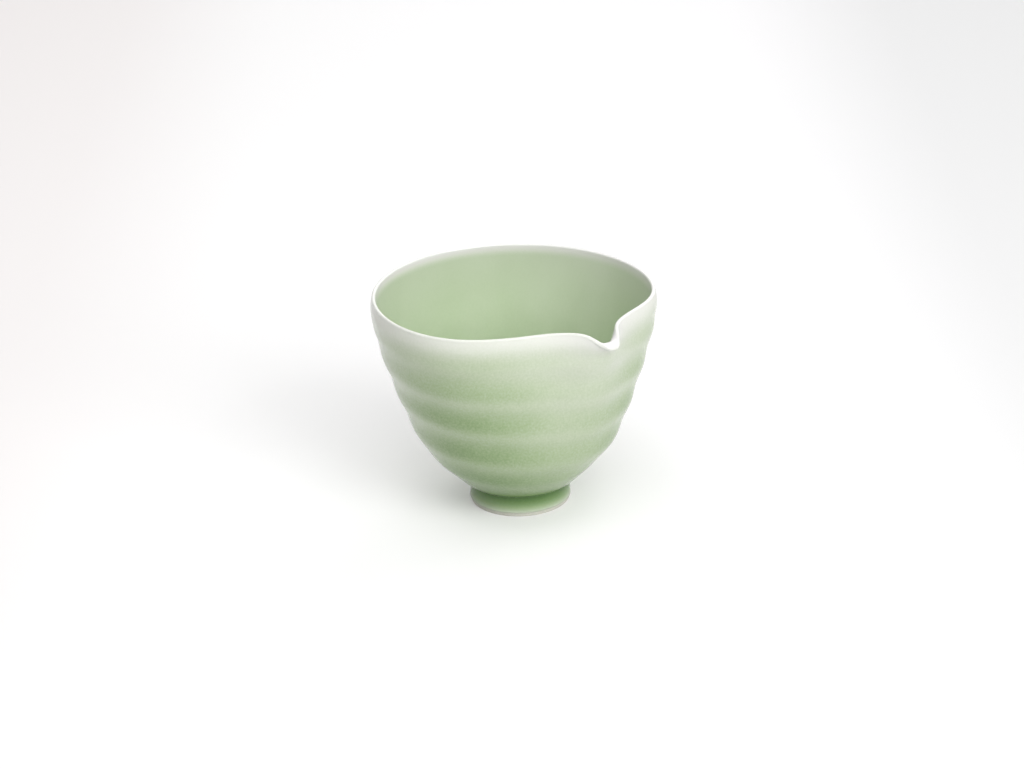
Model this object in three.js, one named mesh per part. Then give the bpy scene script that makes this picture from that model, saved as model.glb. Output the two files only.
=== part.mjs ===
// Tea pitcher: a thrown porcelain bowl with a pinched spout, a foot ring and a coat of celadon glaze.
// Millimetres and degrees, +Z up. The spout points along +X and the foot stands on Z = 0.
import * as THREE from 'three';

// Driving dimensions of the fired and glazed pitcher
const rimDiameter = 100;
const pitcherHeight = 79.6;
const footTopDiameter = 36.2;
const footBottomDiameter = 35.8;
const footHeight = 7.75;
const footWellDepth = 5.2;
const footWellDiameter = 28.4;
const footWaist = 0.25;
const footArris = 0.5;
const bareFootBand = 1.6;

// The outline between foot and rim: shares of the way up, then shares of the way out
const outlineShares = [
  [0.06, 0.172],
  [0.22, 0.49],
  [0.39, 0.664],
  [0.565, 0.799],
  [0.745, 0.916],
  [0.9, 0.985],
];

// Clay wall and glaze coat
const wallAtLip = 2;
const wallAtFoot = 3.2;
const lipRoll = 0.8;
const lipRollDepth = 5;
const lipSettle = 0.1;
const coatOnRidges = 0.28;
const coatInGrooves = 0.5;
const coatAtLip = 0.16;
const coatInside = 0.34;
const coatOnFoot = 0.42;
const glazePool = 0.75;
const lipBandDepth = 7;

// The throwing groove climbs the wall as one spiral
const groovePitch = 13.4;
const grooveDepth = 0.75;
const grooveStart = 47.1;
const grooveFade = 9;

// Spout: a beak between two pressed sides. Angles are measured from the spout, reach and drop at the lip
const beakReach = 7.8;
const beakTipWidth = 2.5;
const beakFlankWidth = 4.1;
const beakTaper = 2.1;
const beakDrop = 6.1;
const throatShare = 0.68;
const throatHalfWidth = 7.4;
const throatDepth = 9.5;
const curlDepth = 3.2;
const dropDepth = 2.3;
const pinchReach = 35.5;
const pinches = [
  { angle: -35.2, width: 28.8, depth: 7 },
  { angle: -18.7, width: 15.5, depth: 2.9 },
  { angle: 21.2, width: 19.5, depth: 5 },
];

// The soft rim sank a little towards the spout and went a little oval in the fire
const rimDip = 0.66;
const rimOval = 1.5;

// How finely the surfaces are divided
const stations = 54;
const crowding = 8;
const crowdingWidth = 11;
const wallRows = 17;
const insideRows = 8;
const lipZoneDepth = 8;
const lipZoneRows = 5;
const lipRows = 4;
const wellRows = 2;
const probe = 0.002;
const angleProbe = 0.1;

const rimRadius = rimDiameter / 2;
const footTopRadius = footTopDiameter / 2;
const wellRadius = footWellDiameter / 2;
const lipRadius = (wallAtLip - lipRoll) / 2;

// The glazed outline from the middle of the foot well to the lip, as radius and height
const outline = new THREE.SplineCurve([
  new THREE.Vector2(0, footWellDepth),
  new THREE.Vector2(wellRadius * 0.6, footWellDepth),
  new THREE.Vector2(footTopRadius, footHeight),
  ...outlineShares.map(([up, out]) => new THREE.Vector2(
    footTopRadius + out * (rimRadius - footTopRadius),
    footHeight + up * (pitcherHeight - footHeight),
  )),
  new THREE.Vector2(rimRadius, pitcherHeight),
]);
outline.arcLengthDivisions = 800;

// The share of the outline at which it first passes a radius
function shareAtRadius(radius) {
  let low = 0;
  let high = 0.6;
  while (high - low > 1e-7) {
    const middle = (low + high) / 2;
    if (outline.getPointAt(middle).x < radius) {
      low = middle;
    } else {
      high = middle;
    }
  }
  return low;
}

const wellShare = shareAtRadius(wellRadius);
const footShare = shareAtRadius(footTopRadius - glazePool / 2);

function mix(from, to, share) {
  return from + (to - from) * share;
}

function easeIn(value, start, length) {
  return THREE.MathUtils.smoothstep(value, start, start + length);
}

// A soft hump of height 1 around an angle
function bell(angle, centre, width) {
  return Math.exp(-(((angle - centre) / width) ** 2));
}

function wallThickness(share) {
  return mix(wallAtFoot, wallAtLip, share);
}

// 1 on a throwing ridge and 0 in the groove below it
function ridge(angle, height) {
  const turns = (height - grooveStart) / groovePitch + angle / 360;
  return (1 - Math.cos(2 * Math.PI * turns)) / 2;
}

// How strongly the throwing marks show: they die out towards the foot and the rim
function ridgeStrength(height) {
  const fromFoot = easeIn(height, footHeight + grooveFade / 2, grooveFade);
  const fromRim = easeIn(pitcherHeight - height, grooveFade / 2, grooveFade);
  return fromFoot * fromRim;
}

// The glaze runs thin over ridges and lip, and thick in the grooves
function coatOutside(angle, share) {
  const height = outline.getPointAt(share).y;
  const groove = (1 - ridge(angle, height)) * ridgeStrength(height);
  const body = mix(coatOnRidges, coatInGrooves, groove);
  return mix(coatAtLip, body, easeIn(pitcherHeight - height, 0, lipBandDepth));
}

function coatInsideAt(share) {
  const depth = pitcherHeight - outline.getPointAt(share).y;
  return mix(coatAtLip, coatInside, easeIn(depth, 0, lipBandDepth));
}

// The middle of the clay wall before the spout is pulled
function thrownMiddle(share) {
  const point = outline.getPointAt(share);
  const tangent = outline.getTangentAt(share);
  const lipShare = easeIn(point.y, pitcherHeight - lipBandDepth, lipBandDepth);
  const inset = mix(coatOnRidges, coatAtLip, lipShare) + wallThickness(share) / 2;
  const settled = easeIn(share, 1 - lipSettle, lipSettle);
  const rise = mix(tangent.x * inset, -lipRadius - coatAtLip, settled);
  return new THREE.Vector2(point.x - tangent.y * inset, point.y + rise);
}

// The beak seen from above: 1 across its tip, then falling away at both sides
function beakOutline(across) {
  const beyondTip = Math.max(0, Math.abs(across) - beakTipWidth / 2);
  return Math.exp(-((beyondTip / beakFlankWidth) ** beakTaper));
}

// The spout: fingers press its sides in, and one finger draws the throat out and turns the lip down
function pulled(angle, radius, height) {
  const turn = THREE.MathUtils.degToRad(angle);
  const across = turn * rimRadius;
  const depth = Math.max(0, pitcherHeight - height);
  const soft = Math.exp(-((depth / pinchReach) ** 2));
  const slow = Math.max(0, 1 - depth / (pitcherHeight - footHeight));
  const beak = beakOutline(across);
  const curl = beak * Math.exp(-depth / curlDepth);
  const throat = bell(across, 0, throatHalfWidth) * Math.exp(-depth / throatDepth);
  let reach = beakReach * mix(curl, throat, throatShare) + rimOval * Math.sin(2 * turn) * slow;
  for (const pinch of pinches) {
    reach -= pinch.depth * bell(angle, pinch.angle, pinch.width) * soft;
  }
  const lift = -rimDip * Math.cos(turn) * slow - beakDrop * beak * Math.exp(-depth / dropDepth);
  const out = radius + reach;
  return new THREE.Vector3(out * Math.cos(turn), out * Math.sin(turn), height + lift);
}

function middlePoint(angle, share) {
  const point = thrownMiddle(share);
  return pulled(angle, point.x, point.y);
}

// A place on the wall: its middle, the way out of the wall and the way up along it
function wallFrame(angle, share) {
  if (share <= 0) {
    const middle = middlePoint(0, 0);
    return { middle: new THREE.Vector3(0, 0, middle.z), out: new THREE.Vector3(0, 0, -1), up: null };
  }
  const above = Math.min(1, share + probe);
  const below = Math.max(probe, share - probe);
  const after = middlePoint(angle + angleProbe, share);
  const around = after.sub(middlePoint(angle - angleProbe, share)).normalize();
  const up = middlePoint(angle, above).sub(middlePoint(angle, below)).normalize();
  const out = around.clone().cross(up).normalize();
  return { middle: middlePoint(angle, share), out, up };
}

function offsetFrom(frame, distance) {
  return frame.middle.clone().addScaledVector(frame.out, distance);
}

function halfWall(share) {
  return wallThickness(share) / 2;
}

// What the potter's leather took off the outside of the lip
function rolledOff(height) {
  return lipRoll * Math.max(0, 1 - (pitcherHeight - height) / lipRollDepth) ** 2;
}

function clayOutside(angle, share) {
  const height = outline.getPointAt(share).y;
  const swell = grooveDepth * (mix(0.5, ridge(angle, height), ridgeStrength(height)) - 0.5);
  return halfWall(share) + swell - rolledOff(height);
}

// Stations round the pitcher crowd together at the spout
function stationAngles() {
  const weight = (angle) => 1 + crowding * bell(angle, 0, crowdingWidth);
  const steps = 7200;
  let total = 0;
  for (let i = 0; i < steps; i += 1) {
    total += weight(-180 + (i + 0.5) * 360 / steps);
  }
  const angles = [];
  let sum = 0;
  for (let i = 0; i < steps && angles.length < stations; i += 1) {
    if (sum >= angles.length * total / stations) {
      angles.push(-180 + i * 360 / steps);
    }
    sum += weight(-180 + (i + 0.5) * 360 / steps);
  }
  return angles;
}

const angles = stationAngles();

// A ring has one point at each station, or a single point on the axis
function ring(pointAt) {
  return angles.map(pointAt);
}

function spread(from, to, count) {
  return Array.from({ length: count + 1 }, (_, i) => mix(from, to, i / count));
}

function wallRings(shares, distanceAt) {
  return shares.map((share) => {
    if (share === 0) {
      return [offsetFrom(wallFrame(0, 0), distanceAt(0, 0))];
    }
    return ring((angle) => offsetFrom(wallFrame(angle, share), distanceAt(angle, share)));
  });
}

// Half a round from the outside of the lip over its top to the inside
function lipRings(radius, count) {
  return spread(0, 180, count).slice(1, -1).map((degrees) => ring((angle) => {
    const frame = wallFrame(angle, 1);
    const turn = THREE.MathUtils.degToRad(degrees);
    const point = offsetFrom(frame, radius * Math.cos(turn) - lipRoll / 2);
    return point.addScaledVector(frame.up, radius * Math.sin(turn));
  }));
}

function levelRing(radius, height) {
  return ring((angle) => {
    const turn = THREE.MathUtils.degToRad(angle);
    return new THREE.Vector3(radius * Math.cos(turn), radius * Math.sin(turn), height);
  });
}

// Rings in order, shared by the pieces that meet there
const wellShares = spread(0, wellShare, wellRows);
const seatShares = spread(wellShare, footShare, 1);
const lipZoneStart = 1 - lipZoneDepth / outline.getLength();
const lipZoneShares = spread(0, 1, lipZoneRows).map((step) => mix(1, lipZoneStart, step ** 1.6));
const outsideShares = [...spread(footShare, lipZoneStart, wallRows), ...lipZoneShares.toReversed().slice(1)];
const insideShares = [...lipZoneShares, ...spread(lipZoneStart, 0, insideRows).slice(1)];

const wellCeiling = wallRings(wellShares, clayOutside);
const seat = [wellCeiling.at(-1), ...wallRings(seatShares.slice(1), clayOutside)];
const outside = [seat.at(-1), ...wallRings(outsideShares.slice(1), clayOutside)];
const inside = wallRings(insideShares, (angle, share) => -halfWall(share));
const lip = [outside.at(-1), ...lipRings(lipRadius, lipRows), inside[0]];

// The side of the foot curves in a little between the bowl and the bare band
const seatEdge = seat.at(-1)[0];
const seatEdgeRadius = Math.hypot(seatEdge.x, seatEdge.y);
const footBottomRadius = footBottomDiameter / 2;

function footSideRadius(share) {
  return mix(seatEdgeRadius, footBottomRadius, share) - footWaist * Math.sin(Math.PI * share);
}

const footSideShares = [0.5, 1];
const footSide = [outside[0], ...footSideShares.map((share) => (
  levelRing(footSideRadius(share), mix(seatEdge.z, bareFootBand, share))
))];
const wellEdge = wellCeiling.at(-1)[0];
const wellEdgeRadius = Math.hypot(wellEdge.x, wellEdge.y);
const wellSide = [levelRing(wellEdgeRadius, bareFootBand), wellCeiling.at(-1)];
const footEdge = [
  footSide.at(-1),
  levelRing(footBottomRadius, footArris),
  levelRing(footBottomRadius - footArris, 0),
  levelRing(wellEdgeRadius + footArris, 0),
  levelRing(wellEdgeRadius, footArris),
  wellSide[0],
];

// The free face of the glaze lies one coat outside the clay
const glazeOutside = wallRings(outsideShares, (angle, share) => (
  clayOutside(angle, share) + coatOutside(angle, share)
));
const glazeInside = wallRings(insideShares, (angle, share) => -halfWall(share) - coatInsideAt(share));
const glazeLip = [glazeOutside.at(-1), ...lipRings(lipRadius + coatAtLip, lipRows), glazeInside[0]];
glazeOutside[0] = levelRing(seatEdgeRadius + glazePool, seatEdge.z - glazePool / 3);
const glazeFoot = [glazeOutside[0], ...footSideShares.map((share) => (
  levelRing(footSideRadius(share) + mix(glazePool, coatOnFoot, share), mix(seatEdge.z, bareFootBand, share))
))];
const lastFootRing = footSide.at(-1);
const glazeFootEnd = [glazeFoot.at(-1), lastFootRing];

const glazeCeiling = wallRings(wellShares, (angle, share) => clayOutside(angle, share) + coatInside);
const wellCorner = levelRing(wellEdgeRadius - coatInside, wellEdge.z - coatInside);
glazeCeiling[glazeCeiling.length - 1] = wellCorner;
const glazeWellSide = [levelRing(wellEdgeRadius - coatInside, bareFootBand), wellCorner];
const glazeWellEnd = [wellSide[0], glazeWellSide[0]];

// The triangles between neighbouring rings. Turned sheets face the other way and keep the same diagonals
function sheetFaces(rings, turned) {
  const faces = [];
  const add = (a, b, c) => faces.push(turned ? [a, c, b] : [a, b, c]);
  for (let row = 0; row + 1 < rings.length; row += 1) {
    const lower = rings[row];
    const upper = rings[row + 1];
    for (let i = 0; i < stations; i += 1) {
      const next = (i + 1) % stations;
      if (lower.length === 1) {
        add(lower[0], upper[next], upper[i]);
      } else if (upper.length === 1) {
        add(lower[i], lower[next], upper[0]);
      } else if (i < stations / 2) {
        add(lower[i], lower[next], upper[next]);
        add(lower[i], upper[next], upper[i]);
      } else {
        add(lower[i], lower[next], upper[i]);
        add(lower[next], upper[next], upper[i]);
      }
    }
  }
  return faces;
}

// A closed body from sheets that meet along shared rings
function closedBody(name, sheets, material) {
  const places = new Map();
  const positions = [];
  const index = [];
  for (const { rings, turned } of sheets) {
    for (const face of sheetFaces(rings, turned)) {
      for (const point of face) {
        if (!places.has(point)) {
          places.set(point, places.size);
          positions.push(point.x, point.y, point.z);
        }
        index.push(places.get(point));
      }
    }
  }
  const geometry = new THREE.BufferGeometry();
  geometry.setAttribute('position', new THREE.Float32BufferAttribute(positions, 3));
  geometry.setIndex(index);
  geometry.computeVertexNormals();
  const mesh = new THREE.Mesh(geometry, material);
  mesh.name = name;
  return mesh;
}

function glazedMaterial(colour) {
  return new THREE.MeshStandardMaterial({ color: colour, roughness: 0.12, metalness: 0 });
}

function makeBowl() {
  const porcelain = new THREE.MeshStandardMaterial({ color: 0xefece2, roughness: 0.55, metalness: 0 });
  const sheets = [wellCeiling, seat, outside, lip, inside].map((rings) => ({ rings, turned: false }));
  return closedBody('bowl', sheets, porcelain);
}

function makeFootRing() {
  const bareClay = new THREE.MeshStandardMaterial({ color: 0xddd5c8, roughness: 0.75, metalness: 0 });
  return closedBody('foot_ring', [
    { rings: seat, turned: true },
    { rings: footSide, turned: true },
    { rings: footEdge, turned: true },
    { rings: wellSide, turned: true },
  ], bareClay);
}

function makeGlazeCoat() {
  return closedBody('glaze_coat', [
    { rings: outside, turned: true },
    { rings: lip, turned: true },
    { rings: inside, turned: true },
    { rings: footSide, turned: false },
    { rings: glazeOutside, turned: false },
    { rings: glazeLip, turned: false },
    { rings: glazeInside, turned: false },
    { rings: glazeFoot, turned: true },
    { rings: glazeFootEnd, turned: true },
  ], glazedMaterial(0xc3d3b0));
}

function makeFootWellGlaze() {
  return closedBody('foot_well_glaze', [
    { rings: wellCeiling, turned: true },
    { rings: wellSide, turned: false },
    { rings: glazeCeiling, turned: false },
    { rings: glazeWellSide, turned: true },
    { rings: glazeWellEnd, turned: true },
  ], glazedMaterial(0xa9c492));
}

// The footprint is centred on the origin, so the longer reach of the spout moves the bowl's axis back
const pitcher = new THREE.Group();
pitcher.name = 'tea_pitcher';
pitcher.add(makeBowl(), makeFootRing(), makeGlazeCoat(), makeFootWellGlaze());
const footprint = new THREE.Box3().setFromObject(pitcher, true);
pitcher.position.x = -(footprint.min.x + footprint.max.x) / 2;

export default pitcher;
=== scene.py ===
# %% [markdown]
# A small porcelain tea pitcher, thrown on the wheel, pinched to a spout while the clay was soft,
# and dipped in celadon, a clear green glaze. The solid model already says where each piece lies.
# This script makes the fine surfaces round that model: a wall that turns and folds without
# facets, a glaze whose colour follows how deep it lies, a bare foot, white paper and soft light.

# %% Load the solid model
import math
import bmesh
import bpy
import numpy as np
from mathutils import Matrix, Vector


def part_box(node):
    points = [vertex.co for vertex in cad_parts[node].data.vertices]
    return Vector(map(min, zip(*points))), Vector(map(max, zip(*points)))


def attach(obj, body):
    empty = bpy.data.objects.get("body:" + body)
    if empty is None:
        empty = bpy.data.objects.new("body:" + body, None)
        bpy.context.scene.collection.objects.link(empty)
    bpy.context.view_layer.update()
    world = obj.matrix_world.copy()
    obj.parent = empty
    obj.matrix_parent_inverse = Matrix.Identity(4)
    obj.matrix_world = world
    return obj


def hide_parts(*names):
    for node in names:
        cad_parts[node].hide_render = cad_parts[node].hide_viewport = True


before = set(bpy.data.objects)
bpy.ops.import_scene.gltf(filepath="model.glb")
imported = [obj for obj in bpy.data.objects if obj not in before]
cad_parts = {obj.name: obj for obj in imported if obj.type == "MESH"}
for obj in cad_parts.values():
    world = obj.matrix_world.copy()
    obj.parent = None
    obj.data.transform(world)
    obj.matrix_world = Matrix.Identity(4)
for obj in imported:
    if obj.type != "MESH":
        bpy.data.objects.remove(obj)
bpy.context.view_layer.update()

print("solid pieces:", sorted(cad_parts))

# %% [markdown]
# The sizes come first. One of them is asked from the solid model: the axis of the bowl runs
# through the middle of its foot ring. The rest are the maker's own measures, in millimetres, and
# every shape below is worked out from them. What the solid says of foot and glaze is printed to
# compare. Blender works in metres, so points are divided by a thousand when a mesh is made.

# %% Sizes taken from the solid model
MM = 1000
foot_low, foot_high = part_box("foot_ring")
coat_low, coat_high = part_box("glaze_coat")
axis_x = (foot_low.x + foot_high.x) / 2 * MM
print("axis of the bowl, mm from the origin:", round(axis_x, 3))
print("glaze in the solid, mm:", round(coat_low.z * MM, 2), "to", round(coat_high.z * MM, 2), "up")

# %% Sizes of the thrown bowl and its foot
rim_radius = 50.0
pitcher_height = 79.6
foot_top_radius = 18.1
foot_bottom_radius = 17.9
foot_height = 7.75
well_depth = 5.2
well_radius = 14.2
foot_waist = 0.25
foot_arris = 0.5
bare_foot_band = 1.6
wall_at_lip = 2.0
wall_at_foot = 3.2
lip_roll = 0.8
lip_roll_depth = 5.0
print("foot in the solid model, mm:", round((foot_high.x - foot_low.x) * MM / 2, 2), "radius")

# %% Thickness of the glaze
coat_on_ridges = 0.28
coat_in_grooves = 0.5
coat_at_lip = 0.16
coat_inside = 0.34
coat_on_foot = 0.42
glaze_pool = 0.75
lip_band_depth = 7.0
print("glaze, mm:", coat_at_lip, "at the lip to", glaze_pool, "in the pool over the foot")

# %% [markdown]
# A potter's wall is one line turned round an axis. The line could be drawn as a Bezier curve by
# hand, but a smooth curve through a few measured places is easier to correct: change one pair of
# numbers and the wall follows. Each pair says how far up and how far out the wall has come.
# Points are then taken by their distance along the line, so that rows of faces are even.

# %% The outline of the bowl, from the middle of the foot well to the lip
outline_shares = [(0.06, 0.172), (0.22, 0.49), (0.39, 0.664), (0.565, 0.799), (0.745, 0.916), (0.9, 0.985)]
outline_places = np.array(
    [(0, well_depth), (0.6 * well_radius, well_depth), (foot_top_radius, foot_height)]
    + [
        (
            foot_top_radius + out * (rim_radius - foot_top_radius),
            foot_height + up * (pitcher_height - foot_height),
        )
        for up, out in outline_shares
    ]
    + [(rim_radius, pitcher_height)]
)


def smooth_line(places, steps=400):
    """A smooth curve through the places, each span bent by its neighbours on both sides."""
    ends = np.vstack([places[:1], places, places[-1:]])
    share = np.linspace(0, 1, steps, endpoint=False)[:, None]
    spans = []
    for before, start, end, after in zip(ends, ends[1:], ends[2:], ends[3:]):
        leave, arrive = (end - before) / 2, (after - start) / 2
        spans.append(
            start
            + leave * share
            + (3 * (end - start) - 2 * leave - arrive) * share**2
            + (2 * (start - end) + leave + arrive) * share**3
        )
    return np.vstack(spans + [places[-1:]])


line = smooth_line(outline_places)
line_length = np.concatenate([[0], np.cumsum(np.linalg.norm(np.diff(line, axis=0), axis=1))])
outline_length = line_length[-1]
line_share = line_length / outline_length
print("length of the outline, mm:", round(outline_length, 2))


def outline_at(share):
    """Radius and height of the glazed outside at a share of the outline's length."""
    return np.interp(share, line_share, line[:, 0]), np.interp(share, line_share, line[:, 1])


# %% Small helpers for blending
def mix(start, end, share):
    return start + (end - start) * share


def ease(value, start, length):
    share = np.clip((value - start) / length, 0, 1)
    return share * share * (3 - 2 * share)


def bell(angle, centre, width):
    return np.exp(-(((angle - centre) / width) ** 2))


def wall_thickness(share):
    return mix(wall_at_foot, wall_at_lip, share)


print("clay half way up, mm:", round(wall_thickness(0.5), 2))


# %% [markdown]
# The potter's finger leaves one groove that climbs the wall as a spiral, as on every thrown pot.
# A texture could only pretend it. Here it is geometry: the clay swells and sinks by less than a
# millimetre, and its phase turns with the angle, so the groove is higher by one pitch after a
# full turn. The glaze flows off the ridges and gathers in the groove.

# %% The throwing spiral
groove_pitch = 13.4
groove_depth = 0.75
groove_start = 47.1
groove_fade = 9.0
swell_at_ends = 0.5


def ridge(angle, height):
    turns = (height - groove_start) / groove_pitch + angle / 360
    return (1 - np.cos(2 * np.pi * turns)) / 2


def ridge_strength(height):
    from_foot = ease(height, foot_height + groove_fade / 2, groove_fade)
    from_rim = ease(pitcher_height - height, groove_fade / 2, groove_fade)
    return from_foot * from_rim


def rolled_off(height):
    """What the potter's leather took off the outside of the lip."""
    return lip_roll * np.clip(1 - (pitcher_height - height) / lip_roll_depth, 0, 1) ** 2


def clay_outside(angle, share):
    height = outline_at(share)[1]
    swell = mix(swell_at_ends, ridge(angle, height), ridge_strength(height))
    return wall_thickness(share) / 2 - groove_depth / 2 + groove_depth * swell - rolled_off(height)


def coat_outside(angle, share):
    height = outline_at(share)[1]
    groove = (1 - ridge(angle, height)) * ridge_strength(height)
    body = mix(coat_on_ridges, coat_in_grooves, groove)
    return mix(coat_at_lip, body, ease(pitcher_height - height, 0, lip_band_depth))


def coat_inner(angle, share):
    depth = pitcher_height - outline_at(share)[1]
    return mix(coat_at_lip, coat_inside, ease(depth, 0, lip_band_depth)) + 0 * angle


print("turns of the groove:", round((pitcher_height - foot_height) / groove_pitch, 1))


# %% [markdown]
# The spout takes the most skill. While the bowl is soft, two fingers press the rim in at both
# sides and a third draws the lip out and down between them. It could be sculpted by hand or
# pushed with a lattice, but then the wall would thin and thicken at random. So only the middle
# of the wall is moved, and clay and glaze are laid on both sides of it afterwards at their own
# thickness, square to the moved surface. The wall stays even through every fold.

# %% The pull of the fingers
beak_reach = 7.8
beak_tip_width = 2.5
beak_flank_width = 4.1
beak_taper = 2.1
beak_drop = 6.1
throat_share = 0.68
throat_half_width = 7.4
throat_depth = 9.5
curl_depth = 3.2
drop_depth = 2.3
pinch_reach = 35.5
pinches = [(-35.2, 28.8, 7.0), (-18.7, 15.5, 2.9), (21.2, 19.5, 5.0)]
rim_dip = 0.66
rim_oval = 1.5


def beak_outline(across):
    beyond_tip = np.maximum(0, np.abs(across) - beak_tip_width / 2)
    return np.exp(-((beyond_tip / beak_flank_width) ** beak_taper))


def pulled(angle, radius, height):
    depth = np.maximum(0, pitcher_height - height)
    turn = np.radians(angle)
    across = turn * rim_radius
    soft = np.exp(-((depth / pinch_reach) ** 2))
    slow = np.clip(1 - depth / (pitcher_height - foot_height), 0, 1)
    beak = beak_outline(across)
    hollow = bell(across, 0, throat_half_width)
    throat = np.exp(-depth / throat_depth)
    curl = np.exp(-depth / curl_depth)
    reach = beak_reach * mix(beak * curl, hollow * throat, throat_share)
    for centre, width, press in pinches:
        reach = reach - press * bell(angle, centre, width) * soft
    reach = reach + rim_oval * np.sin(2 * turn) * slow
    lift = -rim_dip * np.cos(turn) * slow - beak_drop * beak * np.exp(-depth / drop_depth)
    out = radius + reach
    return np.stack([out * np.cos(turn), out * np.sin(turn), height + lift], axis=-1)


print("pulled outline at the spout tip, mm:", pulled(0.0, rim_radius, pitcher_height).round(2).tolist())


# %% The middle of the wall, and which way is out and up there
probe = 0.002
slope_probe = 1e-4
angle_probe = 0.1
sink_start = 0.9
sink_length = 0.1
lip_radius = (wall_at_lip - lip_roll) / 2


def wall_middle(angle, share):
    radius, height = outline_at(share)
    ahead = outline_at(np.minimum(1, share + slope_probe))
    behind = outline_at(np.maximum(0, share - slope_probe))
    along = np.stack([ahead[0] - behind[0], ahead[1] - behind[1]])
    along = along / np.linalg.norm(along, axis=0)
    in_lip_band = ease(height, pitcher_height - lip_band_depth, lip_band_depth)
    coat = mix(coat_on_ridges, coat_at_lip, in_lip_band)
    inset = coat + wall_thickness(share) / 2
    to_lip = ease(share, sink_start, sink_length)
    sink = mix(-along[0] * inset, lip_radius + coat_at_lip, to_lip)
    return pulled(angle, radius - along[1] * inset, height - sink)


def unit(vectors):
    return vectors / np.linalg.norm(vectors, axis=-1, keepdims=True)


def wall_frame(angle, share):
    middle = wall_middle(angle, share)
    around = unit(wall_middle(angle + angle_probe, share) - wall_middle(angle - angle_probe, share))
    above = wall_middle(angle, np.minimum(1, share + probe))
    up = unit(above - wall_middle(angle, np.maximum(probe, share - probe)))
    return middle, unit(np.cross(around, up)), up


print("middle of the wall in the spout, mm:", wall_middle(0.0, 1.0).round(2).tolist())


# %% [markdown]
# A closed pot is a stack of rings. Ring by ring, the points of one row are joined to the next
# with four-sided faces, and a single point closes the middle of a floor. Blender's Spin and Screw
# tools turn an outline in the same way, but they can't fold the spout, and they don't let each
# ring carry its own glaze thickness. The stations round the rim stand closer at the spout,
# where the shape turns fast.

# %% Stations round the pitcher
stations = 256
crowding = 5
crowding_width = 14
angle_steps = 7201


def station_angles():
    fine = np.linspace(-180, 180, angle_steps)
    weight = 1 + crowding * bell(fine, 0, crowding_width)
    grown = np.concatenate([[0], np.cumsum((weight[1:] + weight[:-1]) / 2)])
    return np.interp(np.arange(stations) / stations, grown / grown[-1], fine)


angles = station_angles()
gaps = np.diff(angles)
print("stations:", stations, "apart by", round(gaps.min(), 2), "to", round(gaps.max(), 2), "degrees")


# %% Rings that follow the wall, level rings, and rings over the lip
def wall_rings(shares, distance_at):
    """One ring for each share, laid off the middle of the wall. Share 0 is the axis."""
    rings = []
    for share in shares:
        if share == 0:
            height = outline_at(0)[1] + coat_on_ridges + wall_thickness(0) / 2
            distance = distance_at(np.zeros(1), 0.0)
            rings.append(np.array([[0, 0, height - distance[0]]]))
        else:
            middle, out, _ = wall_frame(angles, np.full(stations, share))
            rings.append(middle + out * distance_at(angles, share)[:, None])
    return rings


def lip_rings(radius, count):
    """Half a round from the outside of the lip over its top to the inside."""
    middle, out, up = wall_frame(angles, np.ones(stations))
    centre = middle - out * lip_roll / 2
    turns = np.linspace(0, np.pi, count + 1)[1:-1]
    return [centre + radius * (out * np.cos(turn) + up * np.sin(turn)) for turn in turns]


def level_ring(radius, height):
    turn = np.radians(angles)
    return np.stack([radius * np.cos(turn), radius * np.sin(turn), np.full(stations, height)], axis=-1)


print("points in a ring:", len(level_ring(rim_radius, 0.0)))


# %% A closed piece from a stack of rings
def ring_piece(name, rings, layers=(), joined=False):
    """Rings in order as one skin. A skin that starts and ends on the axis is closed by its two
    points, and a joined one runs back to its first ring. Layers hold one value for each point."""
    points = np.vstack(rings) / MM
    points[:, 0] += axis_x / MM
    starts = np.concatenate([[0], np.cumsum([len(ring) for ring in rings])])
    around = np.arange(stations)
    beside = (around + 1) % stations
    faces = []
    pairs = list(zip(range(len(rings) - 1), range(1, len(rings))))
    if joined:
        pairs.append((len(rings) - 1, 0))
    for lower, upper in pairs:
        low, high = starts[lower], starts[upper]
        if len(rings[lower]) == 1:
            faces += np.stack([0 * around + low, high + beside, high + around], axis=1).tolist()
        elif len(rings[upper]) == 1:
            faces += np.stack([low + around, low + beside, 0 * around + high], axis=1).tolist()
        else:
            faces += np.stack([low + around, low + beside, high + beside, high + around], axis=1).tolist()
    mesh = bpy.data.meshes.new(name)
    mesh.from_pydata(points.tolist(), [], faces)
    shaped = bmesh.new()
    shaped.from_mesh(mesh)
    if shaped.calc_volume(signed=True) < 0:
        bmesh.ops.reverse_faces(shaped, faces=shaped.faces)
    open_edges = sum(1 for edge in shaped.edges if len(edge.link_faces) != 2)
    volume = shaped.calc_volume() * MM**3 / 1000
    shaped.to_mesh(mesh)
    shaped.free()
    mesh.shade_smooth()
    for title, values in layers:
        layer = mesh.attributes.new(title, "FLOAT", "POINT")
        layer.data.foreach_set("value", np.concatenate(values).astype(np.float32))
    piece = bpy.data.objects.new(name, mesh)
    bpy.context.scene.collection.objects.link(piece)
    print(name, "faces:", len(mesh.polygons), "open edges:", open_edges, "volume, cm3:", round(volume, 2))
    return piece


# %% [markdown]
# The rows. Clay and glaze touch all over, so they share their rings: what is the outside of the
# clay is the inner side of the glaze. Rows stand closer under the lip, because the spout curls
# within a few millimetres there.

# %% Rows of the clay
past_foot = 1.0
lip_zone_depth = 8.0
lip_zone_start = 1 - lip_zone_depth / outline_length
lip_crowding = 1.6
well_rows = 7
clay_rows_up = 44
clay_rows_near_lip = 12
clay_rows_over_lip = 8
clay_rows_down = 30


def share_at_radius(radius):
    rising = line[: np.argmax(line[:, 0] > foot_top_radius + past_foot)]
    return np.interp(radius, rising[:, 0], line_share[: len(rising)])


def lip_zone(count):
    return mix(1, lip_zone_start, np.linspace(0, 1, count + 1) ** lip_crowding)


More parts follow.
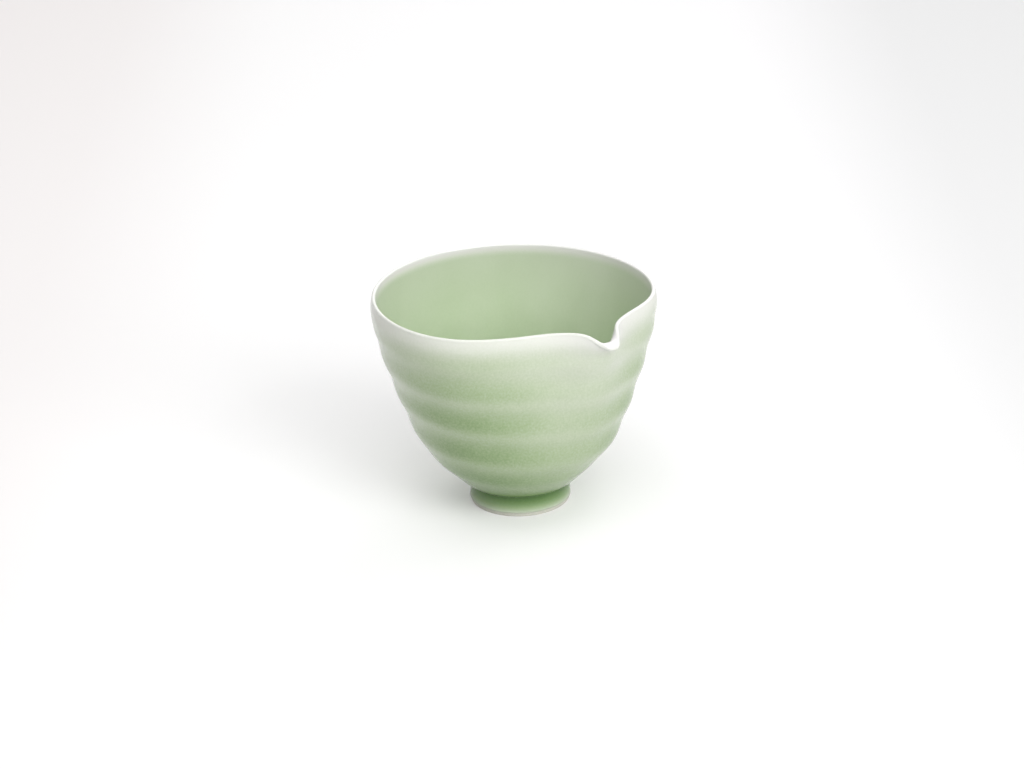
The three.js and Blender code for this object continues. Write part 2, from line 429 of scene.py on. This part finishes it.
def rows_outside(below, near_lip):
    rise = np.linspace(foot_share, lip_zone_start, below + 1)
    return np.concatenate([rise, lip_zone(near_lip)[::-1][1:]])


def rows_inside(near_lip, below):
    return np.concatenate([lip_zone(near_lip), np.linspace(lip_zone_start, 0, below + 1)[1:]])


well_share = share_at_radius(well_radius)
foot_share = share_at_radius(foot_top_radius - glaze_pool / 2)
well_shares = np.linspace(0, well_share, well_rows)
clay_rows_outside = rows_outside(clay_rows_up, clay_rows_near_lip)
clay_rows_inside = rows_inside(clay_rows_near_lip, clay_rows_down)


def clay_inside(angle, share):
    return -wall_thickness(share) / 2 + 0 * angle


well_ceiling = wall_rings(well_shares, clay_outside)
seat = wall_rings([foot_share], clay_outside)
outside = wall_rings(clay_rows_outside[1:], clay_outside)
lip = lip_rings(lip_radius, clay_rows_over_lip)
inside = wall_rings(clay_rows_inside, clay_inside)
print("rows of the clay:", len(outside), "outside,", len(lip), "on the lip,", len(inside), "inside")

# %% The thrown bowl
bowl_rings = well_ceiling + seat + outside + lip + inside
thrown_bowl = ring_piece("thrown_bowl", bowl_rings)

# %% [markdown]
# The foot ring was left when the bowl was turned over and trimmed. Its side draws in a little
# between bowl and table, and both bottom edges are broken so that they don't chip. Its rings
# close on themselves like a bangle.

# %% The foot ring
seat_edge_radius = np.hypot(*seat[0][0][:2])
seat_edge_height = seat[0][0][2]
well_edge_radius = np.hypot(*well_ceiling[-1][0][:2])
well_edge_height = well_ceiling[-1][0][2]
foot_rows = 9
foot_side_shares = np.linspace(0, 1, foot_rows)[1:]


def foot_side_radius(share):
    return mix(seat_edge_radius, foot_bottom_radius, share) - foot_waist * math.sin(math.pi * share)


def foot_side_height(share):
    return mix(seat_edge_height, bare_foot_band, share)


def broken_edge(radius, towards, count=4):
    """The round of the bottom edge, from the upright side to the flat underside, or back."""
    turns = np.linspace(0, np.pi / 2, count + 1)
    places = [
        (radius + towards * foot_arris * (1 - math.cos(turn)), foot_arris * (1 - math.sin(turn)))
        for turn in turns
    ]
    return [level_ring(out, up) for out, up in places]


foot_side = [level_ring(foot_side_radius(share), foot_side_height(share)) for share in foot_side_shares]
outer_edge = broken_edge(foot_bottom_radius, -1)
inner_edge = broken_edge(well_edge_radius, 1)[::-1]
well_side = level_ring(well_edge_radius, bare_foot_band)
foot_rings = seat + foot_side + outer_edge + inner_edge + [well_side, well_ceiling[-1]]
trimmed_foot = ring_piece("trimmed_foot", foot_rings, joined=True)

# %% [markdown]
# The glaze is a skin of glass with its own thickness. The pot was dipped, so the glaze runs over
# the lip without a seam, thin on edges and ridges, thick in the groove and in the corner over
# the foot, and it stops at the band that was wiped bare.

# %% The free side of the glaze
glaze_rows_up = 110
glaze_rows_near_lip = 26
glaze_rows_over_lip = 14
glaze_rows_down = 56
glaze_rows_on_foot = 17
glaze_rows_outside = rows_outside(glaze_rows_up, glaze_rows_near_lip)
glaze_rows_inside = rows_inside(glaze_rows_near_lip, glaze_rows_down)
foot_glaze_shares = np.linspace(0, 1, glaze_rows_on_foot)


def glaze_outside(angle, share):
    return clay_outside(angle, share) + coat_outside(angle, share)


def glaze_inside(angle, share):
    return clay_inside(angle, share) - coat_inner(angle, share)


def foot_coat(share):
    return mix(glaze_pool, coat_on_foot, share)


def foot_glaze_ring(share):
    """The corner over the foot is filled, so the glaze there starts a little lower."""
    height = foot_side_height(share) - (1 - share) * glaze_pool / 3
    return level_ring(foot_side_radius(share) + foot_coat(share), height)


free_outside = wall_rings(glaze_rows_outside[1:], glaze_outside)
free_lip = lip_rings(lip_radius + coat_at_lip, glaze_rows_over_lip)
free_inside = wall_rings(glaze_rows_inside, glaze_inside)
free_foot = [foot_glaze_ring(share) for share in foot_glaze_shares]
print("rows of the glaze:", len(free_outside), "outside and", len(free_inside), "inside")

# %% [markdown]
# The colour has a law of its own, finer than the shape. Molten glaze slides down the wall and
# rests on the shelf where each groove meets the ridge below it, so the green bands sit a little
# lower than the grooves, with a slow fade above and a quick one below. Towards the lip most of it
# has run off, over ten millimetres outside and about four inside. The depths were set by
# comparing renders with the photo, so they colour the glaze and don't measure it. Each point of
# the mesh keeps its depth and its share of bubbles, and the material reads both back.
# In a few places the depth also carries painted light and shade: paler glaze by the spout outside, a paler
# back of the lip, and deeper green on the inner wall right of the spout.

# %% Depths outside, on the lip and on the foot
depth_near_rim = 0.152
run_down = 0.0021
rim_share_left = 0.32
rim_fade_outside = 10.0
# Painted light on the lip: it is drawn paler at the back, where its top catches light and gloss, and
# greener at the front.
lip_depth_and_shade = 0.055
lip_shade_at = -60.0
depth_in_pool = 0.52
pool_reach = 8.5
depth_at_foot_top = 1.0
depth_at_foot_end = 0.1
bubbles_on_foot = 0.15
depth_in_well = 0.152
print("colour depth on the foot:", depth_at_foot_top, "down to", depth_at_foot_end)

# %% Where the dipped coat lies thicker or thinner round the pot, and painted light by the spout
share_mean = 0.65
share_swing = 0.35
share_lobes = 3
share_turn = 98
share_effect = 0.1
share_without_effect = 0.45
# Painted light: right of the spout and high on the wall, where the lamps fall, the glaze is drawn paler.
painted_light_by_spout = 0.05
painted_light_angle = 22
painted_light_width = 35
painted_light_above = 12
painted_light_fade = 40
print("share of the coat:", round(share_mean - share_swing, 2), "to", share_mean + share_swing)

# %% The green bands
band_depth = 0.18
band_drop = 0.27
band_skew = 0.35
band_growth = 30.0
band_growth_power = 1.1
print("bands below the grooves by, mm:", round(band_drop * groove_pitch, 2))

# %% Depths inside
depth_within_rim = 0.157
run_down_inside = 0.0022
inside_lean = 0.15
inside_lean_turn = 150
rim_fade_inside = 4.2
rim_thin_inside = 0.1
flange_thin = 2.3
# Painted shade: the inner wall to the right of the spout, which the lamps don't reach, is drawn deeper
# green, from five millimetres below the rim and growing over twenty.
painted_shade_depth = 0.14
painted_shade_angle = 45
painted_shade_width = 35
painted_shade_below = 5
painted_shade_fade = 20
print("colour depth inside the rim:", depth_within_rim, "and deeper by", run_down_inside, "a millimetre")

# %% The laws of depth
def band(angle, height):
    """1 where the sliding glaze comes to rest, 0 on the ridges."""
    turns = (height - groove_start) / groove_pitch + angle / 360 + band_drop
    phase = 2 * np.pi * turns
    return (1 + np.cos(phase - band_skew * (1 - np.cos(phase)))) / 2


def coat_share(angle):
    """Round the pot the dipped coat is thicker in some places than in others."""
    return share_mean + share_swing * np.sin(share_lobes * np.radians(angle + share_turn))


def in_pool(share):
    """1 in the corner over the foot, fading upwards."""
    up_from_foot = (share - foot_share) * outline_length
    return np.exp(-up_from_foot / pool_reach)


def depth_and_painted_light_outside(angle, share):
    height = outline_at(share)[1]
    down = pitcher_height - height
    body = depth_near_rim + run_down * down
    body += share_effect * (coat_share(angle) - share_without_effect)
    # Painted light: paler glaze right of the spout, high on the wall.
    body -= painted_light_by_spout * bell(angle, painted_light_angle, painted_light_width) * (1 - ease(down, painted_light_above, painted_light_fade))
    growth = ridge_strength(height) * np.minimum(1, down / band_growth) ** band_growth_power
    bands = band_depth * coat_share(angle) * growth * band(angle, height)
    pool = depth_in_pool * in_pool(share)
    return (body + bands) * mix(rim_share_left, 1, ease(down, 0, rim_fade_outside)) + pool


def depth_and_painted_shade_within(angle, share):
    down = pitcher_height - outline_at(share)[1]
    beak = beak_outline(np.radians(angle) * rim_radius)
    thin = rim_thin_inside + flange_thin * beak
    lean = 1 + inside_lean * np.cos(np.radians(angle + inside_lean_turn))
    body = (depth_within_rim + run_down_inside * down) * lean
    # Painted shade on the inner wall to the right of the spout.
    painted_spout_shade = painted_shade_depth * bell(angle, painted_shade_angle, painted_shade_width)
    painted_spout_shade = painted_spout_shade * ease(down, painted_shade_below, painted_shade_fade)
    return (body + painted_spout_shade) * ease(down, thin, rim_fade_inside - flange_thin * beak)


print("colour depth half way up in front:", round(float(depth_and_painted_light_outside(-50.0, 0.5)), 3))

# %% Depth and bubbles for each ring of the coat
under_coat = inside[::-1] + lip[::-1] + outside[::-1] + seat + foot_side


def colour_depths_and_painted_light():
    """One list of depths for each ring of the coat, in the order of its rings."""
    hidden = [np.full(len(ring), depth_within_rim) for ring in under_coat]
    over_foot = [
        np.full(stations, mix(depth_at_foot_top, depth_at_foot_end, share))
        for share in foot_glaze_shares[::-1]
    ]
    over_outside = [depth_and_painted_light_outside(angles, share) for share in glaze_rows_outside[1:]]
    # Painted light: the lip is paler at the back and greener at the front.
    facing = (1 + np.cos(np.radians(angles - lip_shade_at))) / 2
    over_lip = [lip_depth_and_shade * facing for _ in free_lip]
    over_inside = [depth_and_painted_shade_within(angles if share else np.zeros(1), share) for share in glaze_rows_inside]
    return hidden + over_foot + over_outside + over_lip + over_inside


def cloudiness():
    """1 where the glaze is full of fine bubbles, 0 inside the bowl, where it melted clear. On the
    foot and in the pool above it, it is nearly clear too."""
    cloudy = [np.ones(len(ring)) for ring in under_coat]
    cloudy += [np.full(len(ring), bubbles_on_foot) for ring in free_foot]
    for ring, share in zip(free_outside, glaze_rows_outside[1:]):
        cloudy.append(np.full(len(ring), 1 - (1 - bubbles_on_foot) * in_pool(share)))
    cloudy += [np.ones(len(ring)) for ring in free_lip]
    over_inside = []
    for ring, share in zip(free_inside, glaze_rows_inside):
        below_lip = pitcher_height - outline_at(share)[1]
        over_inside.append(np.full(len(ring), 1 - ease(below_lip, 0, rim_fade_inside)))
    return cloudy + over_inside


coat_depths_and_painted_light = colour_depths_and_painted_light()
coat_bubbles = cloudiness()
print("rings of the coat with depth and bubbles:", len(coat_depths_and_painted_light), len(coat_bubbles))

# %% The celadon coat
coat_rings = under_coat + free_foot[::-1] + free_outside + free_lip + free_inside
coat_layers = (("glaze_depth_and_painted_light", coat_depths_and_painted_light), ("glaze_bubbles", coat_bubbles))
celadon_coat = ring_piece("celadon_coat", coat_rings, coat_layers)

# %% The glaze inside the foot ring
def coat_ceiling(angle, share):
    return clay_outside(angle, share) + coat_inside


well_rings = (
    well_ceiling
    + [well_side, level_ring(well_edge_radius - coat_inside, bare_foot_band)]
    + [level_ring(well_edge_radius - coat_inside, well_edge_height - coat_inside)]
    + wall_rings(well_shares[:-1], coat_ceiling)[::-1]
)
well_layers = (
    ("glaze_depth_and_painted_light", [np.full(len(ring), depth_in_well) for ring in well_rings]),
    ("glaze_bubbles", [np.ones(len(ring)) for ring in well_rings]),
)
well_coat = ring_piece("foot_well_coat", well_rings, well_layers)

# %% [markdown]
# Four fine pieces now stand for the four solids, which are hidden. Each one rides on the same body
# as its solid.

# %% Tie the pieces to the solid model
for piece, node, finish in (
    (thrown_bowl, "bowl", "porcelain"),
    (trimmed_foot, "foot_ring", "bare_foot"),
    (celadon_coat, "glaze_coat", "celadon_glaze"),
    (well_coat, "foot_well_glaze", "foot_well_glaze"),
):
    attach(piece, "root")
    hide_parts(node)
    print(piece.name, "stands for", node)

# %% [markdown]
# Celadon is coloured glass over white clay. Light goes through it, is sent back by the clay and
# goes through it again, so each channel falls off as a power of the depth. That one rule gives
# the white lip, the green groove and the dark pool over the foot. Real transparent glass would
# do the same but stay noisy and be lost on export, so the rule is written as a node group.

# %% Helpers for node groups
def add_node(tree, kind, **settings):
    node = tree.nodes.new(kind)
    for name, value in settings.items():
        setattr(node, name, value)
    return node


def new_group(name, inputs, outputs):
    """A shader node group with named sockets. Returns it with its inlet and outlet."""
    group = bpy.data.node_groups.new(name, "ShaderNodeTree")
    for socket, kind, start in inputs:
        made = group.interface.new_socket(socket, in_out="INPUT", socket_type=kind)
        made.default_value = start
    for socket, kind in outputs:
        group.interface.new_socket(socket, in_out="OUTPUT", socket_type=kind)
    return group, add_node(group, "NodeGroupInput"), add_node(group, "NodeGroupOutput")


def math_node(tree, operation, first, second):
    """A Math node. Each operand is a number or another node's socket."""
    node = add_node(tree, "ShaderNodeMath", operation=operation)
    for slot, value in zip(node.inputs, (first, second)):
        if isinstance(value, (int, float)):
            slot.default_value = value
        else:
            tree.links.new(value, slot)
    return node.outputs[0]


print("node groups so far:", len(bpy.data.node_groups))


# %% Colour of glass over clay
def glass_over_clay_group():
    group, inlet, outlet = new_group(
        "glass_over_clay",
        [
            ("Depth", "NodeSocketFloat", 0.3),
            ("Clay", "NodeSocketColor", (0.85, 0.83, 0.78, 1)),
            ("Glass", "NodeSocketColor", (0.3, 0.5, 0.2, 1)),
        ],
        [("Colour", "NodeSocketColor")],
    )
    clay = add_node(group, "ShaderNodeSeparateColor")
    glass = add_node(group, "ShaderNodeSeparateColor")
    joined = add_node(group, "ShaderNodeCombineColor")
    group.links.new(inlet.outputs["Clay"], clay.inputs[0])
    group.links.new(inlet.outputs["Glass"], glass.inputs[0])
    for channel in range(3):
        passed = math_node(group, "POWER", glass.outputs[channel], inlet.outputs["Depth"])
        seen = math_node(group, "MULTIPLY", passed, clay.outputs[channel])
        group.links.new(seen, joined.inputs[channel])
    group.links.new(joined.outputs[0], outlet.inputs["Colour"])
    return group


glass_over_clay = glass_over_clay_group()
print("node group:", glass_over_clay.name)

# %% [markdown]
# No glaze is even. Fine bubbles and half-melted grains make it cloudy at the scale of a
# millimetre, and a dipped coat is a little thicker here than there over a few centimetres. One
# group makes both from noise, and each glaze and each bare clay takes it at its own strength.

# %% Cloudiness
def cloud_group():
    group, inlet, outlet = new_group(
        "cloud",
        [
            ("Fine scale", "NodeSocketFloat", 1300.0),
            ("Broad scale", "NodeSocketFloat", 60.0),
            ("Fine amount", "NodeSocketFloat", 0.1),
            ("Broad amount", "NodeSocketFloat", 0.1),
        ],
        [("Change", "NodeSocketFloat"), ("Height", "NodeSocketFloat")],
    )
    place = add_node(group, "ShaderNodeTexCoord").outputs["Object"]
    changes = []
    for size, amount, detail in (("Fine scale", "Fine amount", 3), ("Broad scale", "Broad amount", 2)):
        noise = add_node(group, "ShaderNodeTexNoise")
        noise.inputs["Detail"].default_value = detail
        group.links.new(place, noise.inputs["Vector"])
        group.links.new(inlet.outputs[size], noise.inputs["Scale"])
        centred = math_node(group, "SUBTRACT", noise.outputs["Fac"], 0.5)
        changes.append(math_node(group, "MULTIPLY", centred, inlet.outputs[amount]))
        if size == "Fine scale":
            group.links.new(noise.outputs["Fac"], outlet.inputs["Height"])
    total = math_node(group, "ADD", changes[0], changes[1])
    group.links.new(math_node(group, "ADD", total, 1.0), outlet.inputs["Change"])
    return group


cloud = cloud_group()


def place_group(tree, group, **values):
    node = add_node(tree, "ShaderNodeGroup", node_tree=group)
    for name, value in values.items():
        node.inputs[name.replace("_", " ")].default_value = value
    return node


print("node group:", cloud.name)

# %% The celadon material
# A Mix node has sockets for numbers, vectors and colours under the same names, so the sockets
# for colours are picked by their place.
first_colour = 6
second_colour = 7
mixed_colour = 2
white_clay = (0.85, 0.835, 0.826, 1)
clear_glass = (0.0907, 0.2041, 0.0439, 1)
cloudy_glass = (0.0907, 0.188, 0.0428, 1)
grain_where_clear = 0.15
grain_where_cloudy = 0.6
glaze_patches = 0.25
glaze_roughness = 0.14
glass_ior = 1.5
glaze_bump = 0.00002


def new_material(name):
    material = bpy.data.materials.new(name)
    material.use_nodes = True
    tree = material.node_tree
    return material, tree, tree.nodes["Principled BSDF"]


def bump_into(tree, shader, height, distance):
    bump = add_node(tree, "ShaderNodeBump")
    bump.inputs["Strength"].default_value = 1.0
    bump.inputs["Distance"].default_value = distance
    tree.links.new(height, bump.inputs["Height"])
    tree.links.new(bump.outputs["Normal"], shader.inputs["Normal"])


def blend(tree, share, start, end):
    """A colour between two, by another node's socket."""
    node = add_node(tree, "ShaderNodeMix", data_type="RGBA")
    tree.links.new(share, node.inputs["Factor"])
    node.inputs[first_colour].default_value = start
    node.inputs[second_colour].default_value = end
    return node.outputs[mixed_colour]


def make_celadon(name):
    """Green glass over white clay, deeper in colour where the mesh gives a greater depth."""
    material, tree, shader = new_material(name)
    depth = add_node(tree, "ShaderNodeAttribute", attribute_name="glaze_depth_and_painted_light").outputs["Fac"]
    bubbles = add_node(tree, "ShaderNodeAttribute", attribute_name="glaze_bubbles").outputs["Fac"]
    clouded = place_group(tree, cloud, Broad_amount=glaze_patches)
    grain = math_node(tree, "MULTIPLY", bubbles, grain_where_cloudy - grain_where_clear)
    grain = math_node(tree, "ADD", grain, grain_where_clear)
    tree.links.new(grain, clouded.inputs["Fine amount"])
    colour = place_group(tree, glass_over_clay, Clay=white_clay)
    clouded_depth = math_node(tree, "MULTIPLY", depth, clouded.outputs["Change"])
    tree.links.new(clouded_depth, colour.inputs["Depth"])
    tree.links.new(blend(tree, bubbles, clear_glass, cloudy_glass), colour.inputs["Glass"])
    tree.links.new(colour.outputs["Colour"], shader.inputs["Base Color"])
    gloss = math_node(tree, "MULTIPLY", clouded.outputs["Change"], glaze_roughness)
    tree.links.new(gloss, shader.inputs["Roughness"])
    shader.inputs["IOR"].default_value = glass_ior
    bump_into(tree, shader, clouded.outputs["Height"], glaze_bump)
    return material


celadon_coat.data.materials.append(make_celadon("celadon"))
well_coat.data.materials.append(make_celadon("celadon_in_foot_well"))
print("celadon on", celadon_coat.name, "and", well_coat.name)

# %% [markdown]
# Bare porcelain shows only on the foot. It is white clay that the fire has toasted a little
# warm, dull, and smooth from trimming, with the finest grain.

# %% Bare porcelain
toasted_clay = (0.68, 0.67, 0.595, 1)
inner_clay = (0.86, 0.83, 0.77, 1)
bare_roughness = 0.65
inner_roughness = 0.55
clay_grain_scale = 2400.0
clay_grain = 0.35
clay_patches = 0.2
clay_bump = 0.00004


def make_clay(name, colour, roughness):
    material, tree, shader = new_material(name)
    clouded = place_group(
        tree, cloud, Fine_scale=clay_grain_scale, Fine_amount=clay_grain, Broad_amount=clay_patches
    )
    tint = add_node(tree, "ShaderNodeMix", data_type="RGBA", blend_type="MULTIPLY")
    tint.inputs["Factor"].default_value = 1.0
    tint.inputs[first_colour].default_value = colour
    grey = add_node(tree, "ShaderNodeCombineColor")
    for channel in range(3):
        tree.links.new(clouded.outputs["Change"], grey.inputs[channel])
    tree.links.new(grey.outputs[0], tint.inputs[second_colour])
    tree.links.new(tint.outputs[mixed_colour], shader.inputs["Base Color"])
    dullness = math_node(tree, "MULTIPLY", clouded.outputs["Change"], roughness)
    tree.links.new(dullness, shader.inputs["Roughness"])
    bump_into(tree, shader, clouded.outputs["Height"], clay_bump)
    return material


trimmed_foot.data.materials.append(make_clay("bare_foot_clay", toasted_clay, bare_roughness))
thrown_bowl.data.materials.append(make_clay("porcelain_clay", inner_clay, inner_roughness))
print("bare clay on", trimmed_foot.name, "and", thrown_bowl.name)

# %% [markdown]
# The camera stands in front of the pitcher and looks down at about 24 degrees, with a long lens.
# Its place was worked out from how wide and how open the rim looks. The spout points to the
# front right, so the view is first described as if the viewer looked along +Y and then turned
# round the bowl's axis into the frame of the solid model.

# %% From the viewer's directions to the model's
spout_turn = math.radians(50)
viewer = Matrix.Translation((axis_x / MM, 0, 0)) @ Matrix.Rotation(spout_turn, 4, "Z")
print("viewer's directions turned by, degrees:", round(math.degrees(spout_turn)))

# %% The camera
camera_place = Vector((-1.82, -1050.07, 506.56)) / MM
look_down = math.radians(23.76)
camera_roll = math.radians(-1.835)
lens_mm = 112.5
sensor_mm = 36
level_right = Vector((1, 0, 0))
straight_up = Vector((0, math.sin(look_down), math.cos(look_down)))
ahead = Vector((0, math.cos(look_down), -math.sin(look_down)))
right = math.cos(camera_roll) * level_right + math.sin(camera_roll) * straight_up
up = -math.sin(camera_roll) * level_right + math.cos(camera_roll) * straight_up
facing = Matrix((right, up, -ahead)).transposed().to_4x4()
camera_data = bpy.data.cameras.new("camera")
camera_data.lens = lens_mm
camera_data.sensor_fit = "HORIZONTAL"
camera_data.sensor_width = sensor_mm
camera = bpy.data.objects.new("camera", camera_data)
camera.matrix_world = viewer @ Matrix.Translation(camera_place) @ facing
bpy.context.scene.collection.objects.link(camera)
bpy.context.scene.camera = camera
print("camera at", [round(side, 3) for side in camera.matrix_world.translation])

# %% [markdown]
# The pitcher stands on a sheet of white paper. It has to look white and still hold a soft shadow,
# so a weak painted glow is added to the lit paper, strongest in the middle: towards the sides it
# fades, so that they look a little grey, and at the left it is a little warm. Only the camera and
# mirror-like rays see the glow, so it shows in the gloss of the glaze but doesn't light the pitcher.

# %% The floor
floor_half = 3.0
paper_white = (0.81, 0.81, 0.81, 1)
paper_roughness = 0.9
glow_half_width = 0.6
glow_middle = 0.5
glow_across = [
    (0.0, (0.1, 0.07, 0.06, 1)),
    (0.33, (0.1, 0.065, 0.06, 1)),
    (0.4, (0.2, 0.2, 0.2, 1)),
    (0.6, (0.22, 0.21, 0.22, 1)),
    (0.67, (0.0, 0.0, 0.0, 1)),
    (1.0, (0.0, 0.0, 0.0, 1)),
]


def seen_directly(tree):
    """1 for rays from the camera, from a reflection or through glass, and 0 for the rest."""
    path = add_node(tree, "ShaderNodeLightPath")
    first = math_node(tree, "MAXIMUM", path.outputs["Is Camera Ray"], path.outputs["Is Glossy Ray"])
    return math_node(tree, "MAXIMUM", first, path.outputs["Is Transmission Ray"])


def make_floor():
    mesh = bpy.data.meshes.new("floor")
    corners = [(-1, -1), (1, -1), (1, 1), (-1, 1)]
    mesh.from_pydata([(floor_half * x, floor_half * y, 0) for x, y in corners], [], [(0, 1, 2, 3)])
    floor = bpy.data.objects.new("floor", mesh)
    floor.matrix_world = viewer
    bpy.context.scene.collection.objects.link(floor)
    material, tree, shader = new_material("white_paper_and_glow")
    shader.inputs["Roughness"].default_value = paper_roughness
    shader.inputs["Specular IOR Level"].default_value = 0.0
    shader.inputs["Base Color"].default_value = paper_white
    place = add_node(tree, "ShaderNodeTexCoord").outputs["Object"]
    split = add_node(tree, "ShaderNodeSeparateXYZ")
    tree.links.new(place, split.inputs[0])
    across = math_node(tree, "DIVIDE", split.outputs["X"], 2 * glow_half_width)
    ramp = add_node(tree, "ShaderNodeValToRGB")
    tree.links.new(math_node(tree, "ADD", across, glow_middle), ramp.inputs[0])
    ramp.color_ramp.interpolation = "B_SPLINE"
    stops = ramp.color_ramp.elements
    for position, _ in glow_across[1:-1]:
        stops.new(position)
    for stop, (position, colour) in zip(stops, glow_across):
        stop.position = position
        stop.color = colour
    glow = add_node(tree, "ShaderNodeEmission")
    tree.links.new(ramp.outputs[0], glow.inputs["Color"])
    tree.links.new(seen_directly(tree), glow.inputs["Strength"])
    both = add_node(tree, "ShaderNodeAddShader")
    tree.links.new(shader.outputs[0], both.inputs[0])
    tree.links.new(glow.outputs[0], both.inputs[1])
    tree.links.new(both.outputs[0], tree.nodes["Material Output"].inputs["Surface"])
    mesh.materials.append(material)
    return floor


floor = make_floor()
print("floor:", 2 * floor_half, "m wide")

# %% [markdown]
# The light is soft and comes mostly from the front right, so the shadow falls to the left and
# back. One big lamp would do for the wall, but the floor would lie half in shade. Six large
# panels stand round the table instead, each given by where it hangs: the angle round the table
# from the viewer's right, the angle above the table, its side in metres and its power in watts.
# Places and powers were found by comparing light and shadow with the photo. The room itself
# gives no light. It is seen beyond the paper and in the gloss, as white.

# %% Lamps
lamp_distance = 2.2
lamp_target = Vector((0, 0, 0.04))
panels = (
    ("key_panel", -50, 30, 1.2, 23.4),
    ("front_panel", -90, 40, 2.0, 17.6),
    ("high_front_panel", -60, 65, 2.0, 14.8),
    ("high_left_panel", 180, 65, 2.0, 15.8),
    ("back_panel", 90, 40, 2.0, 10.4),
    ("back_right_panel", 45, 40, 2.0, 14.5),
)


def soft_panel(name, round_table, above_table, size, power):
    data = bpy.data.lights.new(name, "AREA")
    data.shape = "SQUARE"
    data.size = size
    data.energy = power
    lamp = bpy.data.objects.new(name, data)
    sideways = math.radians(round_table)
    raised = math.radians(above_table)
    level = math.cos(raised)
    away = Vector((math.cos(sideways) * level, math.sin(sideways) * level, math.sin(raised)))
    turn = away.to_track_quat("Z", "Y").to_matrix().to_4x4()
    lamp.matrix_world = viewer @ Matrix.Translation(lamp_target + lamp_distance * away) @ turn
    bpy.context.scene.collection.objects.link(lamp)


for panel in panels:
    soft_panel(*panel)
print("lamps:", len(panels), "with", sum(panel[-1] for panel in panels), "W")

# %% The room
world = bpy.data.worlds.new("white_room")
world.use_nodes = True
bpy.context.scene.world = world
room = world.node_tree
room.nodes["Background"].inputs["Color"].default_value = (1, 1, 1, 1)
room.links.new(seen_directly(room), room.nodes["Background"].inputs["Strength"])
bpy.context.scene.view_settings.view_transform = "Standard"
print("room:", world.name)
